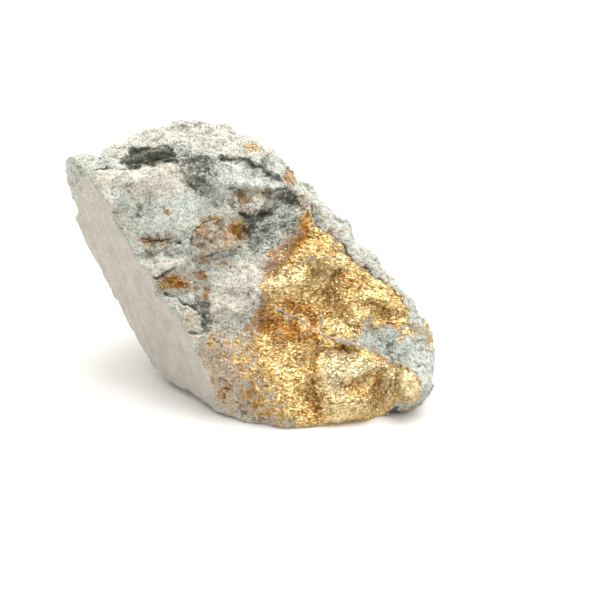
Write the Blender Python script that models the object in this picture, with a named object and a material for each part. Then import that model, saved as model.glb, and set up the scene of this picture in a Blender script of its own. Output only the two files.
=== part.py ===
"""A hand specimen of gold-bearing rock, one solid stone.

The stone is a wedge-shaped block of grey-green schist. Its front is a long broken slope that carries the
gold, its left side is sawn flat, its top is a rough shelf, and the back and right sides are plain broken
rock. Sizes are millimetres until the last step, which scales the finished mesh to metres. +X runs along the
stone's long side, +Y to its back and +Z up, and the origin is on the flat that the stone stands on.
"""

import math

import bmesh
import bpy
from mathutils import Matrix, Vector, noise

MM = 0.001

# Driving dimensions
SLOPE = 45.0  # degrees that the broken front leans back
TOP = 43.2  # height of the shelf on top
BLANK = 200.0  # side of the cube that the breaks are cut from
SAW_ALLOWANCE = 3.0  # rock left on the sawn side until the saw takes it off
FOOT_ALLOWANCE = 2.6  # rock left under the stone until it is levelled
GRAIN = 0.6  # size of the smallest relief that this solid keeps
TRIANGLES = 9800
WEAR = 4  # rounds of smoothing that take the knife edge off the block's corners before it is roughened
SOFTENING = 30  # rounds of smoothing behind the directions in which the relief is raised
CRUMBLE = 2  # rounds of smoothing that take the thinnest splinters off the roughened stone

# Each flat that bounds the stone: a point on it, the way it faces round the stone (0 is the front, 90 the
# right side) and the degrees it looks up. The convex block between them all is the stone before its rough
# relief.
BREAKS = {
    "toe_left": ((-5.0, -25.2, 0.0), -24, 15),
    "toe_right": ((14.6, -29.2, 0.0), 9, 8),
    "toe_far": ((20.0, -27.5, 0.0), 24, -22),
    "gold_slope": ((5.0, -28.0, 4.5), 8, SLOPE),
    "top": ((-10.0, 15.0, TOP), 4, 84),
    "right_rim": ((25.4, -5.1, 24.6), 60, 56),
    "right_end": ((38.0, -13.5, 8.0), 88, 2),
    "right_end_low": ((37.6, -17.0, 4.0), 66, -30),
    "left_under": ((-15.8, -13.0, 2.8), -62, -58),
    "left_back": ((-22.4, -4.7, 5.9), -128, -43),
    "left_shoulder": ((-30.5, 12.5, 43.0), -141, 10),
    "crest": ((-9.0, 24.9, 44.0), 175, 40),
    "back": ((-5.0, 28.5, 35.0), 172, 4),
    "back_top": ((1.2, 18.4, 43.4), 129, 30),
    "back_right": ((19.0, 5.0, 32.4), 117, 26),
    "flank": ((35.4, -8.2, 17.8), 98, 20),
    "under_back": ((0.0, 14.5, 0.0), 175, -42),
    "under_right": ((33.0, -0.5, 0.0), 110, -40),
}
SAWN = {
    "sawn_side": ((-18.9, -11.7, 24.0), -53, -6),
    "sawn_strip": ((-20.9, -8.7, 22.2), -50, -4.9),
}
FOOT = ((0.0, 0.0, 0.0), 0, -90)


def facing(around, up):
    """Unit vector that looks out of the stone, from its angle round the stone and its angle up."""
    a, u = math.radians(around), math.radians(up)
    return Vector((math.sin(a) * math.cos(u), -math.cos(a) * math.cos(u), math.sin(u)))


# The front is laid out square-on, as seen from 25 degrees up: ACROSS to the right, UPWARD up the slope, and
# OUT towards the viewer.
ACROSS = Vector((1.0, 0.0, 0.0))
OUT = facing(0, 25)
UPWARD = OUT.cross(ACROSS)

# Facets of the broken front: across, upward, how far proud, degrees tipped up, degrees turned right
FACETS = {
    "top_left": (-29.0, 37.6, 0.6, 16, -8),
    "plateau_brow": (-20.0, 39.3, 0.9, 22, -4),
    "plateau": (-19.9, 33.5, 0.8, 8, -3),
    "plateau_low": (-19.8, 28.4, 0.5, 4, -6),
    "dark_gully": (-11.4, 39.8, -0.9, 6, -24),
    "gully_foot": (-11.4, 34.6, -0.6, -2, 12),
    "top_slab": (-2.1, 38.2, 0.5, 24, 2),
    "slab_right": (4.5, 37.8, 0.3, 18, 16),
    "under_ledge": (6.5, 32.6, -0.9, -4, 6),
    "centre_lump": (0.4, 33.0, 0.9, 12, 4),
    "green_flat": (4.5, 27.9, -1.0, 2, 2),
    "green_flat_low": (2.9, 23.8, -0.5, 4, -4),
    "lens": (-6.6, 26.0, 0.7, 4, -4),
    "lens_right": (-2.0, 27.0, 0.3, -10, 16),
    "band": (-17.7, 24.9, 0.0, -8, -6),
    "cream_ledge": (-16.6, 20.9, 0.6, 16, -6),
    "rusty_pit": (-14.5, 16.2, -0.8, -12, 6),
    "rusty_shelf": (-8.6, 20.3, -0.1, 6, 0),
    "rusty_wall": (-8.5, 15.2, -0.5, -8, -10),
    "quartz": (-1.9, 16.9, 0.8, 8, -4),
    "quartz_low": (-3.1, 11.6, 0.2, -6, -4),
    "left_flank": (-13.8, 10.8, 0.3, 4, -2),
    "flank_low": (-10.9, 4.2, 0.3, 0, 0),
    "green_hollow": (-5.0, 7.2, -0.6, -4, -10),
    "speckled": (-4.3, 0.3, 0.4, 2, -2),
    "speckled_low": (-1.3, -5.6, 0.6, -8, -2),
    "gold_top": (11.6, 26.4, 0.2, -4, 8),
    "gold_orange": (8.2, 23.0, 0.1, -8, -8),
    "gold_roof": (8.6, 17.7, 0.9, 20, -8),
    "gold_left_wall": (7.0, 11.6, 0.1, -12, -10),
    "gold_middle": (12.2, 13.2, -0.1, -6, 4),
    "gold_gutter": (16.7, 15.6, -0.9, -8, -24),
    "gold_bank_top": (17.1, 23.4, 0.5, 14, 8),
    "gold_bank": (22.7, 13.2, 0.9, 16, 4),
    "gold_bank_right": (27.2, 14.8, 0.6, 22, 18),
    "gold_lip": (19.6, 7.2, 0.3, 10, -2),
    "green_patch": (27.7, 6.2, -0.5, 4, 8),
    "right_corner": (34.3, 3.2, -0.2, 6, 24),
    "gold_brow": (8.6, 4.2, 0.2, 2, -6),
    "gold_fold": (10.6, -0.8, 0.4, 6, -12),
    "gold_pleat": (13.0, -5.7, -0.7, -8, -20),
    "gold_low_left": (5.6, -3.7, 0.2, -4, -10),
    "gold_shield": (19.6, 0.2, 1.2, 16, -2),
    "gold_shield_right": (25.0, 0.8, 0.9, 14, 10),
    "gold_furrow": (24.2, -3.2, -0.4, -18, 4),
    "knob_shadow": (28.2, -4.4, -1.3, -10, -30),
    "shield_low": (19.6, -6.3, 0.7, 6, 0),
    "gold_foot": (20.5, -9.1, 0.2, -26, 0),
    "foot_left": (8.6, -9.0, 0.0, -16, -8),
    "knob": (32.4, -4.0, 1.5, 14, 6),
}
FACET_BLEND = 6.0

# Ledges of the broken front, where the rock above a line stands proud of the rock below it: how far
# proud, how far up that fades out, and the line from left to right as (across, upward). A negative height
# is a riser.
STEPS = {
    "slab_edge": (1.3, 3.0, ((-7.4, 44.0), (-2.7, 42.1), (0.8, 41.1), (3.6, 39.0), (6.5, 37.2))),
    "shelf_edge": (
        1.6, 3.5,
        ((-7.3, 36.7), (-4.1, 35.7), (-1.2, 35.0), (2.0, 34.6), (5.5, 35.3), (11.0, 34.3)),
    ),
    "lump_edge": (2.4, 3.5, ((-3.2, 27.8), (-1.0, 27.8), (0.4, 29.1), (2.1, 30.5), (3.7, 31.3), (5.1, 32.2))),
    "lens_edge": (
        1.4, 3.0,
        ((-11.8, 23.7), (-10.6, 22.3), (-8.0, 22.1), (-5.6, 22.5), (-3.0, 23.5), (-0.3, 24.8)),
    ),
    "band_edge": (1.1, 2.5, ((-21.6, 22.9), (-19.2, 22.9), (-17.0, 23.5), (-14.4, 23.5), (-11.6, 22.9))),
    "crevice": (1.9, 3.0, ((-19.5, 18.0), (-17.9, 17.4), (-16.6, 18.7), (-14.6, 19.3), (-12.4, 18.9))),
    "flank_crevice": (1.5, 2.5, ((-17.5, 14.8), (-15.5, 14.0), (-13.5, 13.6), (-11.4, 11.6), (-6.6, 8.0))),
    "quartz_edge": (0.9, 2.5, ((-8.3, 13.2), (-6.3, 11.6), (-3.8, 10.0), (-1.0, 10.4), (1.4, 10.8))),
    "gold_ledge": (0.8, 2.0, ((2.9, 19.7), (5.7, 20.9), (9.0, 20.1), (11.8, 20.9), (15.1, 21.7))),
    "vein_edge": (1.3, 2.5, ((14.2, 3.6), (16.2, 3.2), (18.6, 4.0), (20.6, 3.4), (23.0, 2.0))),
    "shield_edge": (0.9, 2.0, ((19.6, -3.5), (22.2, -2.8), (25.0, -2.0), (27.4, -1.2))),
    "bank_edge": (0.8, 2.0, ((18.3, 11.6), (20.7, 13.2), (23.1, 12.4), (25.9, 12.0), (28.8, 10.8))),
    "rim_edge": (
        -0.9, 2.0,
        ((14.3, 29.1), (17.1, 25.8), (19.9, 22.2), (25.6, 16.9), (28.8, 13.2), (30.8, 9.6)),
    ),
    "foot_ledge": (0.9, 2.0, ((-1.3, -7.4), (1.1, -8.6), (3.1, -9.6), (5.6, -10.6))),
}

# Lumps and hollows with a rim all round: across, upward, half width, half height, how far proud, degrees
# turned, and the share of the width that is flat on top
LUMPS = {
    "gold_knob": (32.2, -4.2, 2.9, 3.1, 2.2, -20, 0.45),
    "crumb_under_knob": (31.0, -9.0, 3.4, 1.3, 1.2, 0, 0.3),
}
# The trough behind the brow of the slope, seen from above: x, y, half width, half depth, degrees turned
TROUGH = (-20.2, 9.3, 6.3, 2.1, 8)
TROUGH_DEPTH = 3.2

# Round swellings and dents on the skyline: x, y, z, radius, how far proud
SWELLINGS = {
    "slab_hump": (-18.0, 14.0, 43.3, 4.5, 1.3),
    "crest_knob": (-13.6, 23.3, 43.8, 3.2, 0.8),
    "crest_knob_right": (-4.8, 23.5, 43.8, 2.8, 1.0),
    "corner_bulge": (-36.5, 9.8, 38.5, 6.5, 2.8),
    "corner_chip": (-36.5, 8.5, 45.0, 4.5, -1.4),
    "notch": (-37.2, 9.9, 30.6, 2.6, -2.0),
    "rim_dent_high": (17.3, 8.0, 33.6, 5.5, -2.3),
    "rim_dent": (22.3, 2.5, 27.5, 5.0, -1.8),
    "rim_knob": (33.5, -8.5, 19.0, 4.0, 0.9),
    "end_dent": (38.4, -10.5, 11.5, 5.0, -1.4),
    "end_dent_low": (37.4, -16.0, 4.5, 4.5, -1.0),
}

# Rough relief of broken rock: cell size and height of each scale of fracture
FRACTURES = ((15.0, 1.3), (7.0, 0.9), (3.4, 0.55))
LEDGE_SPACING = 4.6  # between the ledges where the layers of the schist break off
LEDGE_HEIGHT = 0.8
LAYERS = facing(5, 78)  # across the layers
WARP = 1.2  # how far the outlines of the facets wander
SEED = Vector((31.7, 12.9, 54.3))
WARP_SEED = 7


def smooth_step(low, high, value):
    """0 below low, 1 above high, and an even curve between."""
    t = min(1.0, max(0.0, (value - low) / (high - low)))
    return t * t * (3.0 - 2.0 * t)


def cut(mesh, point, around, up, spare=0.0):
    """Cuts mesh by a flat that faces (around, up), set out by spare, and closes the cut."""
    normal = facing(around, up)
    everything = mesh.verts[:] + mesh.edges[:] + mesh.faces[:]
    result = bmesh.ops.bisect_plane(
        mesh,
        geom=everything,
        dist=1e-5,
        plane_co=Vector(point) + normal * spare,
        plane_no=normal,
        clear_outer=True,
    )
    rim = [e for e in result["geom_cut"] if isinstance(e, bmesh.types.BMEdge)]
    bmesh.ops.holes_fill(mesh, edges=rim, sides=0)


def broken_block():
    """The convex block between the breaks, with its sawn side and its foot still oversize."""
    mesh = bmesh.new()
    bmesh.ops.create_cube(mesh, size=BLANK)
    for point, around, up in BREAKS.values():
        cut(mesh, point, around, up)
    for point, around, up in SAWN.values():
        cut(mesh, point, around, up, SAW_ALLOWANCE)
    cut(mesh, *FOOT, FOOT_ALLOWANCE)
    return mesh


def to_object(mesh, name):
    """Puts a bmesh in the scene as an object, and frees it."""
    data = bpy.data.meshes.new(name)
    mesh.to_mesh(data)
    mesh.free()
    stone = bpy.data.objects.new(name, data)
    bpy.context.scene.collection.objects.link(stone)
    return stone


def apply_modifiers(stone):
    """Replaces the object's mesh by the one that its modifiers make."""
    graph = bpy.context.evaluated_depsgraph_get()
    made = bpy.data.meshes.new_from_object(stone.evaluated_get(graph))
    stone.modifiers.clear()
    old, stone.data = stone.data, made
    bpy.data.meshes.remove(old)


def fracture(point, size):
    """Height, from -1 to 1 or so, of rock broken into flat tilted chips of about this size."""
    place = (point + SEED) / size
    distances, centres = noise.voronoi(place)
    heights = []
    for centre in centres[:2]:
        random = noise.cell_vector(centre * 97.0) - Vector((0.5, 0.5, 0.5))
        heights.append(random.dot(place - centre) * 2.6 + random.x * 0.9)
    edge = 0.5 + 0.5 * smooth_step(0.0, 0.14, distances[1] - distances[0])
    return heights[0] * edge + heights[1] * (1.0 - edge)


def ledges(point):
    """A small step at each layer of the schist, whose spacing wanders."""
    wander = noise.noise((point + SEED) / 11.0) * 1.6
    layer = point.dot(LAYERS) / LEDGE_SPACING + wander
    share = layer - math.floor(layer)
    strength = smooth_step(-0.2, 0.5, noise.noise((point - SEED) / 14.0))
    return strength * (share if share < 0.85 else (1.0 - share) * 0.85 / 0.15) - 0.4 * strength


def front_facets(place):
    """Height of the front's own facets, each of which turns into the next over a narrow edge."""
    total, weights = 0.0, 0.0
    for across, upward, proud, tip, turn in FACETS.values():
        da, du = place[0] - across, place[1] - upward
        nearness = math.exp(-(da * da + du * du) / FACET_BLEND)
        total += nearness * (proud - math.tan(math.radians(tip)) * du - math.tan(math.radians(turn)) * da)
        weights += nearness
    return total / weights if weights > 1e-12 else 0.0


def step(place, height, fade, line):
    """Height of one ledge: all of it just above the line, less farther up, and a slight hollow below."""
    best = None
    before = 0.0
    whole = sum(math.dist(a, b) for a, b in zip(line, line[1:]))
    for (ax, ay), (bx, by) in zip(line, line[1:]):
        dx, dy = bx - ax, by - ay
        length = math.hypot(dx, dy)
        along = min(1.0, max(0.0, ((place[0] - ax) * dx + (place[1] - ay) * dy) / (length * length)))
        gap = math.hypot(place[0] - ax - dx * along, place[1] - ay - dy * along)
        side = dx * (place[1] - ay) - dy * (place[0] - ax)
        if best is None or gap < best[0]:
            best = (gap, side, before + along * length)
        before += length
    gap, side, reached = best
    taper = smooth_step(0.0, 2.0, min(reached, whole - reached))
    if side > 0.0:
        return height * taper * math.exp(-gap / fade)
    return -0.35 * height * taper * math.exp(-gap / 1.2)


def oval(place, across, upward, half_width, half_height, turn):
    """Distance from the middle of an oval, where its rim is at 1."""
    angle = math.radians(turn)
    da, du = place[0] - across, place[1] - upward
    x = (da * math.cos(angle) + du * math.sin(angle)) / half_width
    y = (du * math.cos(angle) - da * math.sin(angle)) / half_height
    return math.hypot(x, y)


def lump(place, across, upward, half_width, half_height, proud, turn, flat):
    """Height of one lump, or of one hollow."""
    return proud * (1.0 - smooth_step(flat, 1.1, oval(place, across, upward, half_width, half_height, turn)))


def swellings(point):
    """Height of the skyline's own swellings and dents."""
    total = 0.0
    for x, y, z, radius, proud in SWELLINGS.values():
        total += proud * (1.0 - smooth_step(0.2, 1.0, (point - Vector((x, y, z))).length / radius))
    return total


def worn(stone, rounds):
    """Takes the knife edge off the corners."""
    modifier = stone.modifiers.new("wear", "SMOOTH")
    modifier.factor = 0.5
    modifier.iterations = rounds
    apply_modifiers(stone)


def soft_normals(stone):
    """Directions out of the stone at its points that turn slowly over its edges."""
    copy = stone.copy()
    copy.data = stone.data.copy()
    bpy.context.scene.collection.objects.link(copy)
    worn(copy, SOFTENING)
    normals = [vertex.normal.copy() for vertex in copy.data.vertices]
    spare = copy.data
    bpy.data.objects.remove(copy)
    bpy.data.meshes.remove(spare)
    return normals


def roughen(stone):
    """Moves each point of the block out or in by the relief of the broken rock."""
    noise.seed_set(WARP_SEED)
    slope = facing(*BREAKS["gold_slope"][1:])
    moved = []
    for vertex, normal in zip(stone.data.vertices, soft_normals(stone)):
        point = vertex.co
        wander = noise.noise_vector((point + SEED) / 6.0) * WARP
        place = (point.dot(ACROSS) + wander.x, point.dot(UPWARD) + wander.y)
        height = sum(tall * fracture(point, size) for size, tall in FRACTURES)
        height += LEDGE_HEIGHT * ledges(point) + swellings(point)
        shape = front_facets(place)
        shape += sum(step(place, *form) for form in STEPS.values())
        shape += sum(lump(place, *form) for form in LUMPS.values())
        front = smooth_step(0.25, 0.7, normal.dot(slope)) * (1.0 - smooth_step(0.84, 0.97, normal.z))
        new = point + normal * (height * (1.0 - 0.45 * front)) + slope * (shape * front)
        sunk = 1.0 - smooth_step(0.7, 1.05, oval((point.x + wander.x, point.y), *TROUGH))
        new.z -= TROUGH_DEPTH * sunk * smooth_step(0.72, 0.88, normal.z)
        moved.append(new)
    for vertex, new in zip(stone.data.vertices, moved):
        vertex.co = new
    stone.data.update()


def remeshed(stone, size):
    """Rebuilds the mesh in even cells of this size."""
    modifier = stone.modifiers.new("even cells", "REMESH")
    modifier.mode = "VOXEL"
    modifier.voxel_size = size
    apply_modifiers(stone)


def thinned(stone, triangles):
    """Brings the mesh down to this many triangles, where they are needed least first."""
    stone.data.calc_loop_triangles()
    modifier = stone.modifiers.new("thin", "DECIMATE")
    modifier.ratio = triangles / len(stone.data.loop_triangles)
    apply_modifiers(stone)


def drop_crumbs(mesh):
    """Leaves only the largest connected body of the mesh."""
    loose = set(mesh.faces)
    bodies = []
    while loose:
        body, edge = [], [loose.pop()]
        while edge:
            face = edge.pop()
            body.append(face)
            beside = {other for e in face.edges for other in e.link_faces} & loose
            loose -= beside
            edge.extend(beside)
        bodies.append(body)
    bodies.sort(key=len)
    crumbs = [face for body in bodies[:-1] for face in body]
    bmesh.ops.delete(mesh, geom=crumbs, context="FACES")


def saw(stone):
    """Takes the saw allowance off the left side and levels the foot."""
    mesh = bmesh.new()
    mesh.from_mesh(stone.data)
    for flat in (*SAWN.values(), FOOT):
        cut(mesh, *flat)
    drop_crumbs(mesh)
    bmesh.ops.triangulate(mesh, faces=[f for f in mesh.faces if len(f.verts) > 3])
    mesh.to_mesh(stone.data)
    mesh.free()


def stone_material():
    """Grey-green schist, with no gloss."""
    material = bpy.data.materials.new("grey_green_schist")
    material.use_nodes = True
    surface = material.node_tree.nodes["Principled BSDF"]
    surface.inputs["Base Color"].default_value = (0.50, 0.50, 0.44, 1.0)
    surface.inputs["Roughness"].default_value = 0.75
    surface.inputs["Metallic"].default_value = 0.0
    return material


def main():
    for old in list(bpy.data.objects):
        bpy.data.objects.remove(old)
    stone = to_object(broken_block(), "gold_bearing_stone")
    remeshed(stone, GRAIN)
    worn(stone, WEAR)
    roughen(stone)
    remeshed(stone, GRAIN)
    worn(stone, CRUMBLE)
    thinned(stone, TRIANGLES)
    saw(stone)
    stone.data.transform(Matrix.Scale(MM, 4))
    stone.data.materials.append(stone_material())
    stone.data.set_sharp_from_angle(angle=math.radians(30.0))


main()
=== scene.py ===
"""A hand specimen of gold-bearing rock: schist and quartz with a crust of native gold."""

import math

import bmesh
import bpy
import numpy as np
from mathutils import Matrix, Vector


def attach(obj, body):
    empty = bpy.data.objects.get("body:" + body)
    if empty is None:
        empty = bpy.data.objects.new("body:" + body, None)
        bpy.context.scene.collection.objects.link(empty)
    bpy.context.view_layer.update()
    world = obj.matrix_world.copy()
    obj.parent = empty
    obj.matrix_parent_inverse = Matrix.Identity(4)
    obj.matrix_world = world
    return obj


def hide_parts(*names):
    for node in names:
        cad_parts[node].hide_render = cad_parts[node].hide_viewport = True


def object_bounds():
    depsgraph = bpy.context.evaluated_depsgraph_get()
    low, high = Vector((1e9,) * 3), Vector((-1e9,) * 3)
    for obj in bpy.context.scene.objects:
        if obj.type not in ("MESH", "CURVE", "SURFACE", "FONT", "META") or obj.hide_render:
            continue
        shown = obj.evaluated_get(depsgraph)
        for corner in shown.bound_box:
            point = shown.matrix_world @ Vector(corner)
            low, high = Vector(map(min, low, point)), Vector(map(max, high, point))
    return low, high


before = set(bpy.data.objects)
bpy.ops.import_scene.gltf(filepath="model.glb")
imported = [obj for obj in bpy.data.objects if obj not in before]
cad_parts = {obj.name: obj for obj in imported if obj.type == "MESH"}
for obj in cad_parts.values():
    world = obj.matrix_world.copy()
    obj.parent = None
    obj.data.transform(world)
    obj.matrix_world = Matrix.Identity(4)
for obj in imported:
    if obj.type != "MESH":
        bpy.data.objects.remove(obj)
cad_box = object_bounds()

# The camera
# It looks at the broken front from 25 degrees above and from more than half a metre away, as for
# a close-up of a specimen on a table, so that the stone is seen with hardly any perspective.
MM = 0.001
LOOKING_DOWN = 25.0
CAMERA_AT = Vector((10.6, -522.89, 258.42))  # in millimetres
FOCAL_LENGTH = 168.0
FILM = 36.0
NEAREST_SEEN = 0.01


def put(name, data):
    """Puts a new object with this data into the scene."""
    item = bpy.data.objects.new(name, data)
    bpy.context.scene.collection.objects.link(item)
    return item


camera = put("camera", bpy.data.cameras.new("camera"))
camera.location = CAMERA_AT * MM
camera.rotation_euler = (math.radians(90.0 - LOOKING_DOWN), 0.0, 0.0)
camera.data.lens = FOCAL_LENGTH
camera.data.sensor_width = FILM
camera.data.clip_start = NEAREST_SEEN
bpy.context.scene.camera = camera
bpy.context.scene.view_settings.view_transform = "Standard"

# The table and the light
# The stone lies on uncoated white paper in a light tent: one large soft lamp above, behind and to
# the right, and a dim white surround, darkest on the camera's side, which the gold shows as brown.
PAPER = "#F7F6F4"
PAPER_SIZE = 4.0
LAMP_SIZE = 1.0
LAMP_WATTS = 9.3
LAMP_AT = Vector((0.30, 0.36, 0.84))
TENT_BRIGHT = 1.58
TENT_DARK = 0.48
TENT_UP = (0.0, 0.62, 0.79)
TENT_FADE = (0.05, 0.9)  # from where to where it goes from dark to bright
TENT_CLOTH = "#FFFDFA"


def linear(hex_colour, alpha=1.0):
    """The linear colour of an sRGB hex value."""
    parts = [int(hex_colour[i : i + 2], 16) / 255.0 for i in (1, 3, 5)]
    return (*[c / 12.92 if c <= 0.04045 else ((c + 0.055) / 1.055) ** 2.4 for c in parts], alpha)


def add(tree, kind, inputs=None, **settings):
    """Adds a node with its settings, sets or wires these inputs of it, and gives its outputs."""
    node = tree.nodes.new(kind)
    for name, value in settings.items():
        setattr(node, name, value)
    for name, value in (inputs or {}).items():
        if isinstance(value, bpy.types.NodeSocket):
            tree.links.new(value, node.inputs[name])
        else:
            node.inputs[name].default_value = value
    return node.outputs


def even_material(name, look):
    """A material that is the same all over, with these values on its surface."""
    material = bpy.data.materials.new(name)
    material.use_nodes = True
    for socket, value in look.items():
        material.node_tree.nodes["Principled BSDF"].inputs[socket].default_value = value
    return material


paper_mesh = bmesh.new()
bmesh.ops.create_grid(paper_mesh, x_segments=1, y_segments=1, size=PAPER_SIZE / 2)
paper = put("paper", bpy.data.meshes.new("paper"))
paper_mesh.to_mesh(paper.data)
paper_mesh.free()
# Uncoated paper is matt: it gives the eye an even white, a soft shadow and hardly any gleam
matt_paper = even_material(
    "matt_white_paper",
    {"Base Color": linear(PAPER), "Roughness": 0.9, "Specular IOR Level": 0.1},
)
paper.data.materials.append(matt_paper)

lamp = put("soft lamp", bpy.data.lights.new("soft lamp", "AREA"))
lamp.data.size = LAMP_SIZE
lamp.data.energy = LAMP_WATTS
lamp.location = LAMP_AT
lamp.rotation_euler = LAMP_AT.to_track_quat("Z", "Y").to_euler()

tent = bpy.data.worlds.new("light tent")
bpy.context.scene.world = tent
tent.use_nodes = True
tent_tree = tent.node_tree
direction = add(tent_tree, "ShaderNodeTexCoord")["Generated"]
height = add(
    tent_tree, "ShaderNodeVectorMath", {0: direction, 1: TENT_UP}, operation="DOT_PRODUCT"
)["Value"]
brightness = add(
    tent_tree,
    "ShaderNodeMapRange",
    {
        "Value": height,
        "From Min": TENT_FADE[0],
        "From Max": TENT_FADE[1],
        "To Min": TENT_DARK,
        "To Max": TENT_BRIGHT,
    },
    interpolation_type="SMOOTHSTEP",
)["Result"]
tent_light = tent_tree.nodes["Background"]
tent_light.inputs["Color"].default_value = linear(TENT_CLOTH)
tent_tree.links.new(brightness, tent_light.inputs["Strength"])

# The stone
# One piece of rock, broken on all sides but the sawn left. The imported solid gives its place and
# facets, and a surface of quarter-millimetre cells holds its grain, its cracks and the gold's leaf.
STONE = "gold_bearing_stone"
CELL = 0.25
TRIANGLES = 196000
FACET_WEAR = 3  # rounds of smoothing that wear the edges between the facets
CALM_REACH = 60  # rounds of smoothing that even out a worn face
HOLLOW_REACH = 8  # rounds of smoothing that a hollow is measured against
DOWN_ANGLE = math.radians(LOOKING_DOWN)
OUT = np.array([0.0, -math.cos(DOWN_ANGLE), math.sin(DOWN_ANGLE)])  # towards the camera
UPWARD = np.array([0.0, math.sin(DOWN_ANGLE), math.cos(DOWN_ANGLE)])  # up, as the camera sees it
LAYERS = (5, 78)  # how far round the stone and how far up the layers of the schist face
# The two flats of the saw cut: a point on each, and how far round the stone and up it faces
SAWN_FLATS = (((-18.9, -11.7, 24.0), -53, -6), ((-20.9, -8.7, 22.2), -50, -4.9))

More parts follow.
